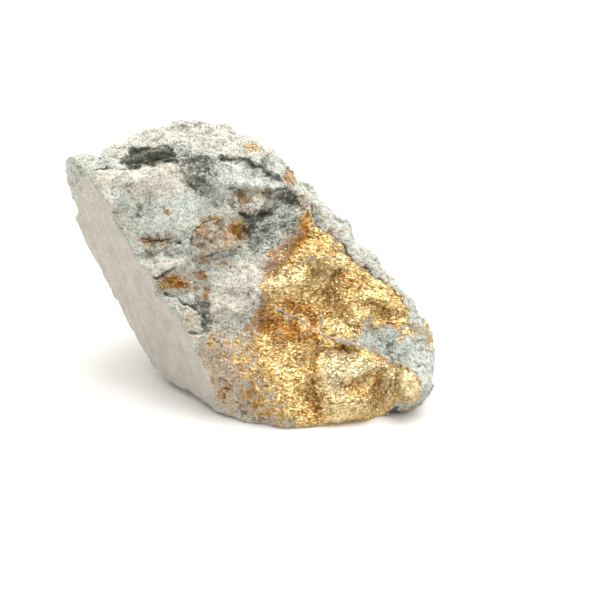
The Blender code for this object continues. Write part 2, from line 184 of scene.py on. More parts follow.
# Where each mineral shows on the front, in millimetres across and upward as the camera sees them.
# Each patch has its mineral, its share of the surface, how far its edge fades, and its outline.
# Two kinds of patch are no mineral: painted highlight on the gold's facets that catch the lamp, and
# rock that is worn even.
PATCHES = {
    # Dark chlorite and painted shade in the trough
    "trough": ("chlorite", 1.0, 0.35, (
        (-26.5, 42.6), (-24.6, 44.6), (-22.3, 45.3), (-20.2, 45.1), (-18.4, 45.9), (-16.8, 45.6),
        (-14.8, 43.9), (-15.2, 42.8), (-18.6, 42.2), (-21.5, 41.1), (-24.0, 40.9), (-26.3, 41.5))),
    "gully": ("chlorite", 0.62, 1.3, (
        (-14.8, 44.5), (-10.2, 44.5), (-7.3, 44.0), (-7.7, 42.8), (-5.6, 41.1), (-5.6, 40.1),
        (-8.6, 38.6), (-8.6, 34.9), (-10.6, 34.0), (-12.7, 36.1), (-13.1, 39.0), (-14.4, 42.4))),
    "slab_side": ("chlorite", 0.75, 0.9, (
        (-7.7, 43.2), (-5.2, 43.6), (-0.4, 43.0), (2.7, 41.8), (6.4, 38.8), (8.1, 36.1),
        (5.6, 37.0), (1.9, 39.9), (-1.1, 41.5), (-4.8, 41.5))),
    # Dark chlorite and painted shade under the ledge
    "under_ledge": ("chlorite", 0.7, 0.8, (
        (5.6, 36.1), (8.9, 36.8), (11.0, 34.9), (11.4, 31.5), (8.5, 32.8), (6.0, 34.5))),
    "lump": ("chlorite", 0.45, 1.5, (
        (-4.8, 35.7), (-1.9, 35.9), (1.4, 34.9), (4.6, 33.0), (3.5, 31.3), (0.2, 31.3),
        (-2.7, 32.0), (-4.8, 33.6))),
    # Painted shade under the lump, laid on as chlorite
    "under_lump": ("chlorite", 1.0, 0.8, (
        (-2.7, 31.5), (0.6, 31.3), (3.9, 32.4), (3.5, 30.7), (1.9, 28.6), (-0.2, 26.6),
        (-1.5, 28.6))),
    "green_flat": ("chlorite", 0.5, 1.5, (
        (2.7, 29.5), (8.5, 33.0), (11.2, 31.1), (9.8, 27.4), (6.4, 25.1), (4.4, 22.4),
        (1.4, 22.4), (-0.6, 23.6), (0.6, 26.6))),
    "band": ("chlorite", 0.5, 1.0, (
        (-23.1, 26.8), (-18.6, 27.0), (-14.4, 26.6), (-12.7, 24.5), (-16.5, 23.6), (-21.1, 23.6))),
    "flank_dark": ("chlorite", 0.7, 1.0, (
        (-12.3, 13.2), (-8.6, 14.1), (-7.3, 12.0), (-6.3, 8.6), (-9.0, 5.7), (-13.1, 6.1),
        (-10.2, 8.6))),
    "quartz_gap": ("chlorite", 0.9, 0.5, ((-6.5, 12.0), (-4.4, 11.6), (-4.6, 10.1), (-6.3, 10.1))),
    "green_wedge": ("chlorite", 0.7, 0.8, ((-1.1, 10.1), (2.7, 10.7), (2.9, 8.6), (-0.2, 7.8))),
    "brow": ("quartz", 0.9, 1.0, (
        (-33.1, 40.1), (-29.0, 40.5), (-26.7, 40.1), (-24.6, 40.3), (-23.3, 41.1), (-17.5, 41.5),
        (-15.2, 42.2), (-14.0, 40.1), (-18.3, 40.1), (-21.9, 39.7), (-23.3, 38.4), (-27.1, 36.8),
        (-29.8, 35.7), (-31.0, 37.2))),
    "crease_cream": ("quartz", 0.6, 1.0, (
        (-31.5, 37.0), (-29.4, 35.7), (-26.9, 31.5), (-24.0, 26.6), (-25.2, 26.6), (-28.1, 30.7),
        (-30.6, 34.9))),
    "cream_ledge": ("quartz", 0.85, 0.5, (
        (-21.3, 22.2), (-19.2, 22.6), (-17.1, 21.6), (-15.6, 19.7), (-17.5, 18.8), (-19.6, 18.4),
        (-20.8, 20.1))),
    "quartz": ("quartz", 0.9, 0.9, (
        (-8.4, 15.3), (-5.6, 18.0), (-2.9, 20.7), (0.4, 22.2), (4.1, 21.3), (3.7, 18.6),
        (2.5, 16.1), (1.6, 14.3), (2.5, 13.0), (0.4, 12.6), (1.2, 10.3), (-0.6, 9.5),
        (-2.5, 10.3), (-4.2, 9.5), (-6.1, 8.0), (-7.1, 9.5), (-8.1, 12.6))),
    "foot_strip": ("quartz", 0.6, 0.6, (
        (-5.6, -8.4), (-2.7, -9.7), (1.4, -11.8), (6.4, -13.0), (4.4, -14.1), (-1.9, -12.2),
        (-5.6, -11.3))),
    "green_patch": ("green", 0.9, 0.7, (
        (24.8, 9.3), (27.1, 9.3), (28.1, 7.6), (30.8, 6.4), (33.1, 6.1), (35.6, 7.2),
        (37.9, 3.2), (37.9, -0.1), (36.4, -2.8), (35.0, -1.6), (32.0, 0.3), (28.9, 1.8),
        (25.6, 3.0), (22.3, 4.5), (22.9, 6.1), (24.1, 7.8))),
    "gold": ("gold", 0.97, 0.6, (
        (11.8, 32.6), (12.9, 30.7), (13.5, 28.4), (16.6, 26.8), (19.1, 24.7), (20.4, 22.0),
        (23.3, 20.1), (26.2, 17.8), (29.8, 15.7), (32.0, 13.2), (33.7, 9.9), (31.4, 6.8),
        (28.3, 7.4), (24.8, 9.3), (23.5, 7.0), (21.6, 4.7), (24.8, 3.4), (28.9, 1.4),
        (32.3, -0.1), (35.2, -2.2), (36.4, -5.1), (35.0, -8.0), (30.6, -8.4), (28.9, -10.1),
        (25.0, -13.2), (20.6, -14.5), (17.1, -15.0), (13.1, -15.0), (10.2, -14.0), (7.5, -10.5),
        (5.4, -5.9), (3.1, -1.8), (1.9, 2.4), (1.6, 5.9), (2.7, 8.6), (2.9, 11.1), (3.5, 13.2),
        (2.7, 15.1), (3.5, 18.2), (5.6, 20.4), (8.3, 21.6), (9.6, 24.6), (10.6, 27.0),
        (11.2, 29.0), (11.5, 31.1))),
    "upper_fringe": ("gold", 0.45, 1.2, (
        (3.4, 18.5), (3.9, 22.5), (6.2, 25.2), (9.0, 26.8), (9.8, 28.8), (11.0, 31.1),
        (11.8, 34.5), (12.5, 30.0), (10.5, 23.0), (8.0, 20.0))),
    # Painted highlight on the gold's shield, knob, roof, lip and foot
    "shield": ("painted_highlight", 1.0, 0.6, (
        (14.9, 2.5), (21.7, 2.3), (28.2, 0.0), (27.0, -1.4), (23.7, -2.9), (20.4, -4.0),
        (19.7, -7.4), (16.4, -7.6), (14.9, -4.0))),
    "knob": ("painted_highlight", 1.0, 0.5, (
        (31.1, -1.6), (33.6, -1.4), (36.1, -4.1), (36.1, -7.1), (33.1, -8.1), (30.9, -5.6))),
    "roof": ("painted_highlight", 0.6, 0.6, (
        (3.4, 16.7), (4.8, 19.2), (10.3, 20.4), (15.8, 20.7), (18.7, 21.2), (19.2, 19.7),
        (15.8, 16.7), (10.3, 15.2), (3.9, 14.7))),
    "patch_fringe": ("gold", 0.5, 1.2, (
        (22.8, 3.6), (23.4, 7.6), (25.4, 10.2), (31.0, 9.0), (35.0, 8.4), (36.4, 5.4),
        (31.6, 6.0), (27.4, 7.6), (24.8, 6.6))),
    "lip": ("painted_highlight", 0.5, 0.8, ((17.2, 8.3), (21.7, 10.2), (23.7, 8.8), (21.7, 5.3), (17.7, 5.8))),
    "foot": ("painted_highlight", 0.5, 0.8, (
        (16.3, -8.1), (27.7, -7.1), (28.2, -8.1), (21.7, -12.6), (15.8, -13.1))),
    "gold_fringe": ("gold", 0.6, 2.0, (
        (3.9, 14.1), (2.7, 8.6), (-0.6, 7.0), (-3.6, 3.9), (-4.8, 0.3), (-2.7, -3.4),
        (-1.9, -7.6), (0.6, -11.3), (5.6, -13.4), (10.6, -13.0), (7.5, -7.6), (4.4, 0.7))),
    "speckled": ("gold", 0.35, 2.5, (
        (-9.0, 7.0), (-5.6, 7.4), (-1.9, 5.9), (-1.9, 0.7), (-1.1, -5.5), (1.4, -10.1),
        (5.4, -13.4), (-1.9, -11.3), (-5.6, -10.1), (-9.2, -4.5), (-11.1, 0.3), (-10.6, 3.9))),
    "rusty_top": ("rust", 0.85, 1.2, (
        (11.0, 33.6), (12.5, 31.1), (13.3, 26.6), (10.3, 22.6), (7.3, 20.2), (3.4, 19.0),
        (3.9, 22.6), (7.5, 25.8), (9.4, 27.8))),
    # Rust, and painted shade on the dark wedge of gold
    "rusty_shaded_wedge": ("rust", 0.42, 0.6, (
        (19.7, 20.4), (20.6, 19.2), (23.4, 16.8), (22.2, 15.2), (20.2, 13.8), (18.0, 13.0),
        (17.4, 10.4), (15.5, 10.6), (15.3, 15.2), (17.2, 18.4))),
    "rusty_left": ("rust", 0.85, 1.2, (
        (3.9, 11.7), (7.8, 9.8), (12.3, 7.3), (14.8, 5.8), (13.8, 4.3), (10.3, 4.3), (5.8, 4.8),
        (2.4, 6.3), (0.6, 8.6), (1.9, 11.3))),
    # Rust, and painted shade on the gold wall that faces down
    "rusty_wall": ("rust", 0.7, 1.2, (
        (4.6, 12.7), (8.8, 13.7), (13.8, 12.7), (14.8, 7.3), (10.8, 8.8), (6.8, 11.2))),
    # Rust, and painted shade in the gutter
    "gutter": ("rust", 0.5, 1.2, (
        (13.5, 4.3), (15.0, 4.3), (13.8, -0.7), (14.3, -5.6), (16.3, -10.6), (13.8, -12.1),
        (11.3, -10.6), (10.8, -5.6), (12.3, -0.7))),
    # Painted shadow under the vein's step, laid on as rust
    "under_vein": ("rust", 0.55, 0.5, (
        (18.2, 5.3), (20.2, 4.8), (22.7, 3.1), (22.2, 2.1), (19.7, 2.8))),
    "fold_shade": ("rust", 0.4, 0.5, (
        (20.6, -4.1), (24.0, -2.7), (28.4, -0.7), (28.2, -5.4), (24.0, -4.9))),
    # Painted highlight that lifts the shade in the fold beside the knob
    "knob_side": ("painted_highlight", 0.9, 0.6, (
        (28.6, -0.2), (31.6, -0.2), (30.9, -3.6), (30.6, -7.6), (29.9, -8.6), (28.2, -8.1),
        (26.7, -6.6), (28.2, -3.6))),
    # Dark chlorite and painted shade under the knob
    "knob_foot": ("chlorite", 0.9, 0.5, (
        (28.2, -8.1), (30.6, -9.1), (32.1, -10.1), (36.1, -9.1), (36.1, -10.6), (30.6, -11.1),
        (28.2, -10.1))),
    "rusty_lump": ("rust", 0.35, 1.0, (
        (-4.2, 37.0), (-0.5, 37.4), (4.4, 35.8), (6.8, 34.0), (3.1, 31.5), (-0.5, 30.9),
        (-3.0, 31.5), (-4.8, 34.6))),
    "rusty_band": ("rust", 0.4, 0.8, (
        (-22.0, 26.0), (-17.1, 26.6), (-15.2, 24.8), (-18.3, 23.3), (-22.0, 23.6))),
    "rusty_ledge": ("rust", 0.4, 1.0, (
        (-20.8, 19.9), (-16.5, 18.7), (-12.8, 18.4), (-9.1, 19.3), (-7.9, 15.0), (-9.1, 12.5),
        (-12.8, 15.0), (-17.1, 15.0), (-18.9, 16.8))),
    "plateau": ("quartz", 0.7, 2.5, (
        (-30.6, 40.1), (-26.9, 40.7), (-15.9, 41.3), (-13.4, 37.4), (-16.0, 33.0), (-24.0, 33.5))),
    "plateau_green": ("green", 0.65, 2.5, (
        (-30.6, 40.1), (-15.9, 41.3), (-12.8, 36.4), (-8.0, 33.0), (-12.0, 29.0), (-22.0, 28.0),
        (-27.0, 31.5))),
    "slab_green": ("green", 0.8, 1.5, (
        (-8.3, 42.2), (-3.0, 40.9), (3.4, 38.3), (6.3, 35.8), (0.7, 36.9), (-4.2, 38.2),
        (-7.5, 39.4))),
    "crest": ("quartz", 0.5, 2.0, (
        (-31.0, 42.0), (-24.0, 45.5), (-14.0, 45.0), (-8.0, 44.5), (-1.0, 43.5), (5.0, 42.0),
        (4.0, 49.0), (-8.0, 53.0), (-24.0, 53.0))),
    "warm_lens": ("rust", 0.5, 1.5, (
        (-12.3, 24.3), (-12.3, 27.5), (-9.0, 30.5), (-4.0, 30.0), (-1.0, 26.0), (-3.0, 23.8),
        (-8.6, 22.5))),
    "warm_flank": ("quartz", 0.75, 2.0, (
        (-17.5, 12.5), (-11.0, 11.0), (-10.0, 5.0), (-13.5, 2.0), (-16.5, 7.0))),
    "pale_speckled": ("quartz", 0.6, 2.0, (
        (-9.0, 7.0), (-1.9, 5.9), (3.0, 2.0), (6.0, -6.0), (5.4, -13.4), (-5.6, -10.1),
        (-9.2, -4.5), (-10.6, 3.9))),
    "warm_speckled": ("rust", 0.3, 2.0, (
        (-9.0, 7.0), (-1.9, 5.9), (3.0, 2.0), (6.0, -6.0), (5.4, -13.4), (-5.6, -10.1),
        (-9.2, -4.5), (-10.6, 3.9))),
    "brown_border": ("rust", 0.65, 1.2, (
        (3.2, 17.4), (3.0, 20.6), (5.0, 24.0), (8.4, 26.4), (10.0, 25.6), (9.6, 22.6),
        (6.6, 20.8), (5.2, 18.2))),
    "rim_stain": ("rust", 0.4, 1.2, (
        (13.0, 33.0), (14.4, 33.4), (16.8, 29.4), (19.6, 27.4), (19.0, 25.6), (16.4, 27.4),
        (13.8, 29.6))),
    "dark_seam": ("chlorite", 0.4, 1.0, (
        (-0.9, 7.4), (0.4, 10.2), (1.8, 13.2), (3.6, 12.6), (3.4, 9.6), (1.8, 6.8), (0.2, 5.8))),
    "rusty_seam": ("rust", 0.65, 1.0, (
        (-0.9, 7.4), (0.8, 10.6), (2.4, 13.6), (4.6, 13.4), (5.8, 9.8), (3.0, 6.6), (0.4, 5.6))),
    "plateau_worn": ("worn", 0.9, 2.0, (
        (-30.6, 40.1), (-26.9, 40.7), (-15.9, 41.3), (-12.8, 36.4), (-6.2, 35.8), (-7.5, 31.5),
        (-11.7, 29.3), (-15.6, 27.5), (-22.0, 27.0), (-26.3, 31.5))),
    "slab_worn": ("worn", 0.7, 1.5, (
        (-8.3, 42.2), (-3.0, 40.9), (3.4, 38.3), (6.3, 35.8), (0.7, 36.9), (-4.2, 38.2),
        (-7.5, 39.4))),
    "foot_worn": ("worn", 0.7, 0.8, (
        (17.0, -8.6), (21.0, -8.6), (25.4, -8.9), (28.0, -9.5), (24.0, -13.5), (17.0, -15.0),
        (13.0, -14.5))),
}
# Small spots of a mineral: its share, across, upward, half width and half height
SPOTS = (
    ("rust", 0.8, -20.8, 25.1, 1.2, 1.0), ("rust", 0.6, -17.3, 26.8, 0.8, 0.6),
    ("rust", 0.8, -17.4, 31.5, 0.6, 1.0), ("gold", 0.5, -9.0, 28.2, 1.2, 1.5),
    ("rust", 0.6, -7.5, 30.7, 1.0, 1.0), ("gold", 0.85, -2.5, 27.6, 1.7, 2.5),
    ("gold", 0.6, -9.2, 21.6, 1.7, 0.8), ("gold", 0.95, -15.6, 16.6, 2.9, 1.5),
    ("rust", 0.8, -10.2, 18.6, 1.2, 1.0), ("rust", 0.8, -9.2, 14.1, 0.8, 1.0),
    ("rust", 0.7, -5.4, 20.5, 0.8, 0.6), ("rust", 0.45, -12.9, 9.3, 2.3, 1.5),
    ("gold", 0.5, 0.6, 44.7, 1.9, 1.2), ("rust", 0.8, 8.7, 38.4, 1.5, 1.9),
    ("rust", 0.7, 11.6, 34.9, 0.8, 0.8), ("rust", 0.7, -1.1, 34.7, 1.5, 1.0),
    ("gold", 0.6, 32.5, 5.7, 1.2, 0.8), ("rust", 0.6, 30.2, 7.6, 1.9, 0.8),
    ("gold", 0.6, 37.3, 5.3, 1.0, 2.7), ("gold", 0.6, 33.5, -9.9, 1.2, 0.8),
    ("gold", 0.55, -7.5, 4.3, 1.5, 2.3), ("gold", 0.55, -10.0, 0.7, 0.8, 1.7),
    ("gold", 0.5, -5.4, -7.6, 1.0, 1.7), ("rust", 0.8, -1.7, -0.3, 1.0, 0.8),
    ("rust", 0.7, 0.4, -4.5, 1.2, 1.9), ("rust", 0.6, 0.2, -9.5, 1.9, 1.0),
    ("gold", 1.0, 16.4, 27.6, 0.4, 0.8), ("quartz", 0.45, -19.6, 44.1, 1.8, 0.6),
    ("rust", 0.8, -2.5, 27.4, 1.5, 2.2), ("rust", 0.7, -15.4, 16.5, 2.6, 1.4),
    ("chlorite", 0.8, -22.8, 32.3, 1.1, 1.0), ("chlorite", 0.7, -23.8, 30.6, 1.8, 0.4),
    ("chlorite", 0.8, 26.6, 8.4, 1.2, 0.8), ("chlorite", 0.6, 29.0, 4.0, 1.6, 1.0),
)
# The material darkens the cracks and folds with painted shade.
# Cracks and veins: depth (a vein stands proud, so its depth is negative), half width, and the line
LINES = {
    "hairline": (0.5, 0.28, (
        (-33.5, 39.9), (-31.0, 40.5), (-29.4, 40.7), (-27.5, 40.3), (-25.4, 40.3), (-23.8, 41.1))),
    "trough_top": (0.7, 0.35, (
        (-25.6, 43.0), (-23.4, 44.3), (-20.6, 44.5), (-18.6, 45.3), (-16.6, 44.9), (-15.0, 43.4))),
    "trough_slit": (1.4, 0.7, (
        (-26.3, 41.5), (-24.0, 41.2), (-21.5, 41.3), (-19.0, 42.1), (-15.2, 42.4))),
    "left_crevice": (1.1, 0.5, (
        (-20.8, 18.4), (-19.2, 17.9), (-17.5, 18.7), (-15.6, 19.6), (-14.2, 20.1))),
    "flank_crevice": (0.9, 0.5, (
        (-18.6, 14.9), (-16.9, 14.3), (-15.2, 14.0), (-13.8, 12.8), (-11.7, 11.8), (-10.4, 10.3),
        (-7.1, 8.0))),
    "low_crevice": (0.6, 0.5, ((-14.0, 7.0), (-12.1, 6.4), (-9.6, 5.9))),
    "lens_foot": (0.6, 0.35, (
        (-11.3, 22.4), (-8.6, 22.5), (-5.0, 23.3), (-2.7, 23.8), (-0.4, 25.2))),
    "lens_rim": (0.35, 0.25, (
        (-12.3, 24.3), (-12.3, 26.1), (-11.1, 28.0), (-9.0, 29.5), (-6.9, 30.1), (-4.8, 29.7))),
    "slab_band": (0.6, 0.6, (
        (-7.3, 42.8), (-5.2, 42.2), (-2.7, 42.8), (-0.4, 42.4), (1.9, 40.9), (4.4, 39.3),
        (7.3, 37.0))),
    "slab_ledge": (0.8, 0.28, ((1.9, 35.4), (4.4, 35.5), (6.0, 36.0), (9.1, 36.5))),
    "slab_notch": (0.5, 0.35, ((-6.7, 37.4), (-5.0, 36.5))),
    "band_line": (0.5, 0.4, (
        (-23.1, 26.6), (-20.6, 25.5), (-17.9, 25.7), (-15.2, 25.5), (-13.1, 24.9))),
    "vein_shadow": (0.5, 0.4, (
        (13.2, 0.6), (14.0, 1.8), (14.8, 3.0), (16.3, 2.8), (17.6, 3.5), (19.8, 3.2), (22.4, 2.3))),
    "foot_crack": (0.4, 0.3, ((-2.6, -8.4), (-1.3, -10.2), (0.4, -11.1), (2.1, -12.2))),
    "rim_line": (0.35, 0.35, (
        (12.5, 34.3), (13.3, 31.1), (14.3, 28.2), (17.1, 27.0), (19.6, 24.5), (21.0, 21.8),
        (24.1, 19.9), (26.8, 17.8), (30.2, 15.3), (33.1, 11.6))),
    "vein": (-0.05, 0.22, (
        (4.1, 12.5), (6.1, 11.2), (8.0, 10.3), (10.5, 9.1), (12.8, 7.5), (14.4, 6.4),
        (17.2, 5.2), (19.7, 4.4), (22.8, 3.6), (26.7, 2.2), (28.9, 0.8), (32.0, -0.3),
        (35.1, -2.3))),
    "broad_vein": (-0.04, 0.4, (
        (17.5, 5.3), (20.0, 4.7), (22.8, 3.7), (26.7, 2.3), (28.9, 1.0), (32.0, -0.3))),
    "side_vein": (-0.04, 0.17, ((15.3, 12.5), (15.3, 10.0), (15.0, 7.8), (14.4, 6.4))),
    "upper_vein": (-0.04, 0.18, (
        (8.3, 21.1), (10.8, 21.4), (13.3, 21.9), (15.8, 22.1), (18.2, 21.9), (20.7, 20.9))),
    "wedge_edge": (0.35, 0.5, ((19.7, 20.4), (17.2, 18.2), (15.8, 15.2), (15.3, 13.2))),
    "wedge_foot": (0.3, 0.35, (
        (17.6, 10.6), (18.0, 13.0), (20.2, 13.6), (22.2, 15.0), (23.6, 16.6))),
    "bank_fold": (0.3, 0.3, (
        (23.0, 13.3), (24.5, 12.4), (26.2, 12.5), (27.4, 11.4), (29.0, 11.0), (30.2, 12.2))),
    "bank_crease": (0.3, 0.35, ((26.6, 14.0), (28.4, 14.0), (29.6, 14.7))),
    "lip_fold": (0.25, 0.3, ((18.4, 8.9), (20.4, 8.3), (22.0, 7.7), (24.2, 8.3))),
    "roof_edge": (0.15, 0.2, ((4.5, 16.1), (7.5, 15.8), (10.5, 16.4), (13.2, 15.8), (15.3, 15.6))),
    "shield_fold": (0.3, 0.35, (
        (20.6, -4.1), (22.5, -3.3), (25.0, -2.4), (27.4, -1.6), (28.4, -0.4))),
    "foot_edge": (0.15, 0.2, (
        (15.2, -9.3), (17.0, -8.2), (20.0, -8.6), (24.0, -8.4), (27.0, -7.7), (29.4, -8.4))),
    "knob_edge": (0.25, 0.3, ((32.2, -0.9), (34.2, -2.4), (36.2, -4.6))),
    "knob_crease": (0.2, 0.3, ((31.2, -8.0), (33.0, -7.1), (36.0, -6.7))),
    "knob_fold": (0.25, 0.35, ((30.8, -0.2), (30.4, -3.6), (29.9, -6.6), (29.2, -8.4))),
    "gutter_line": (0.25, 0.35, (
        (14.6, 5.8), (13.8, 1.5), (13.2, -3.0), (13.8, -7.5), (14.3, -11.5))),
    "lump_shadow": (1.1, 0.7, ((-3.0, 31.8), (-0.5, 30.5), (1.9, 30.8), (5.0, 32.1), (6.8, 33.7))),
    "lump_side": (0.7, 0.5, ((-0.5, 30.3), (-1.2, 28.5), (-0.5, 26.6))),
    "plateau_end": (0.5, 0.5, ((-14.6, 41.6), (-13.7, 39.5), (-11.6, 36.4), (-10.3, 35.2))),
}
# What shows off the front: a mineral, its share of the surface, from which value of its pattern
# it starts and from which it is full, and how much of it is left out on the front
OFF_FRONT = (
    ("gold", 0.35, 0.45, 0.8, 1.0),
    ("rust", 0.5, 0.35, 0.8, 0.8),
    ("quartz", 0.7, 0.25, 0.6, 0.6),
    ("chlorite", 0.7, 0.2, 0.6, 0.7),
    ("green", 0.5, 0.1, 0.7, 0.0),
)
MINERALS = ("gold", "rust", "quartz", "chlorite", "green")
# The corner that broke off the sawn flats
ROUGH_CHIP = (
    (-41.0, 41.0), (-38.0, 43.5), (-35.0, 44.0), (-32.9, 42.2), (-33.5, 40.1), (-34.4, 38.8),
    (-34.9, 36.8), (-35.4, 33.0), (-37.0, 31.5), (-41.0, 33.0))
BLOTCH = 9.0  # how wide the spots off the front are
BLOTCH_WARP = 4.5  # over what length their borders wander
BLOTCH_WANDER = 3.0  # and how far
LAYER_THINNESS = 4.0  # how many times wider than thick the layers of quartz and chlorite are
COARSE = 1.6  # over what length an outline wanders
FINE = 0.6  # over what length it crumbles
EDGE_WANDER = 0.9  # how far the outlines of the patches wander
EDGE_CRUMBLE = 0.6  # and how much they crumble, as a part of that
VEIN_WANDER = (0.22, 0.12)  # how far a vein wanders and crumbles
CRACK_WANDER = (0.35, 0.25)  # how far a crack does
CRACK_DEPTHS = (0.68, 0.32, 1.8)  # a crack's mean depth, its change, and over what length
LINE_END = 1.5  # over what length a crack or a vein tapers off
LINE_EDGE = (0.2, 1.4)  # from where to where it fades sideways, in half widths
# The dark chlorite in a crack is in part painted shade.
CRACK_GREEN = 0.7  # how much chlorite a crack holds
SPOT_EDGE = (0.2, 1.8)  # from where to where a spot fades, in half widths
FRONT_EDGE = (-0.05, 0.3)  # how much a face is turned to the camera where the front begins
SAW_EDGE = (0.1, 0.3)  # how far off its flat a face still counts as sawn
SAW_FACING = (0.93, 0.99)  # and how nearly it has to face as the flat does
CHIP_EDGE = (-0.5, 0.8)  # from where to where the rough chip's own edge fades
SAW_CALM = 2.2  # how far from the saw cut the rock is worn smoother
# What scatters the numbers of neighbouring cells: primes, shifts and the size of a number
CELL_PRIMES = (73856093, 19349663, 83492791)
KIND_PRIME = 40503
STIRS = ((15, 73244475), (13, 40499303))
LAST_SHIFT = 16
LARGEST = 0xFFFFFFFF


def facing(around, up):
    """Unit vector out of the stone, from its angle round it (0 is the front) and its angle up."""
    a, u = math.radians(around), math.radians(up)
    return np.array([math.sin(a) * math.cos(u), -math.cos(a) * math.cos(u), math.sin(u)])


def smooth_step(low, high, value):
    """0 below low, 1 above high, and an even curve between."""
    t = np.clip((value - low) / (high - low), 0.0, 1.0)
    return t * t * (3.0 - 2.0 * t)


def chances(cells, kind):
    """Three random numbers from 0 to 1 for each whole-numbered cell. Each kind is another set."""
    stirred = (cells * CELL_PRIMES).sum(-1) + kind * KIND_PRIME
    numbers = []
    for _ in range(3):
        for shift, factor in STIRS:
            stirred = (stirred ^ (stirred >> shift)) * factor & LARGEST
        numbers.append((stirred ^ (stirred >> LAST_SHIFT)) / (LARGEST + 1.0))
    return np.stack(numbers, -1)


def lumpy(points, size, kind):
    """Three smooth random numbers from -1 to 1 at each point, which change over about this size."""
    place = points / size
    corner = np.floor(place).astype(np.int64)
    part = place - corner
    part = part * part * (3.0 - 2.0 * part)
    total = np.zeros_like(place)
    for step in np.ndindex(2, 2, 2):
        share = np.where(step, part, 1.0 - part).prod(-1)
        total += share[:, None] * chances(corner + step, kind)
    return 2.0 * total - 1.0


def seen(points):
    """Across and upward in mm as the camera sees the points, on a plane through the origin."""
    camera_at = np.array(CAMERA_AT)
    sight = points - camera_at
    away = sight @ -OUT
    scale = (camera_at @ OUT) / away
    across = sight[:, 0] * scale + camera_at[0]
    return np.stack((across, sight @ UPWARD * scale + camera_at @ UPWARD), -1)


def to_line(place, line, closed=False):
    """Distance from each place to a line, how far along its nearest point is, and its length."""
    nearest = np.full(len(place), np.inf)
    reached = np.zeros(len(place))
    before = 0.0
    ends = zip(line, (*line[1:], line[0])) if closed else zip(line, line[1:])
    for start, end in ends:
        start, run = np.array(start), np.subtract(end, start)
        length = math.hypot(*run)
        along = np.clip((place - start) @ run / length**2, 0.0, 1.0)
        gap = np.linalg.norm(place - start - along[:, None] * run, axis=-1)
        closer = gap < nearest
        nearest = np.where(closer, gap, nearest)
        reached = np.where(closer, before + along * length, reached)
        before += length
    return nearest, reached, before


def inside(place, outline):
    """Distance from each place to the outline, positive inside it and negative outside."""
    crossings = np.zeros(len(place), int)
    for (ax, ay), (bx, by) in zip(outline, (*outline[1:], outline[0])):
        spans = (ay > place[:, 1]) != (by > place[:, 1])
        meets = ax + (place[:, 1] - ay) * (bx - ax) / (by - ay if by != ay else 1e-9)
        crossings += spans & (place[:, 0] < meets)
    gap = to_line(place, outline, closed=True)[0]
    return np.where(crossings % 2 == 1, gap, -gap)


def within(place, front, outline, margin):
    """Which places face the front and lie less than a margin outside the box round an outline."""
    low, high = np.min(outline, axis=0) - margin, np.max(outline, axis=0) + margin
    return np.flatnonzero(((place > low) & (place < high)).all(1) & (front > 0.0))


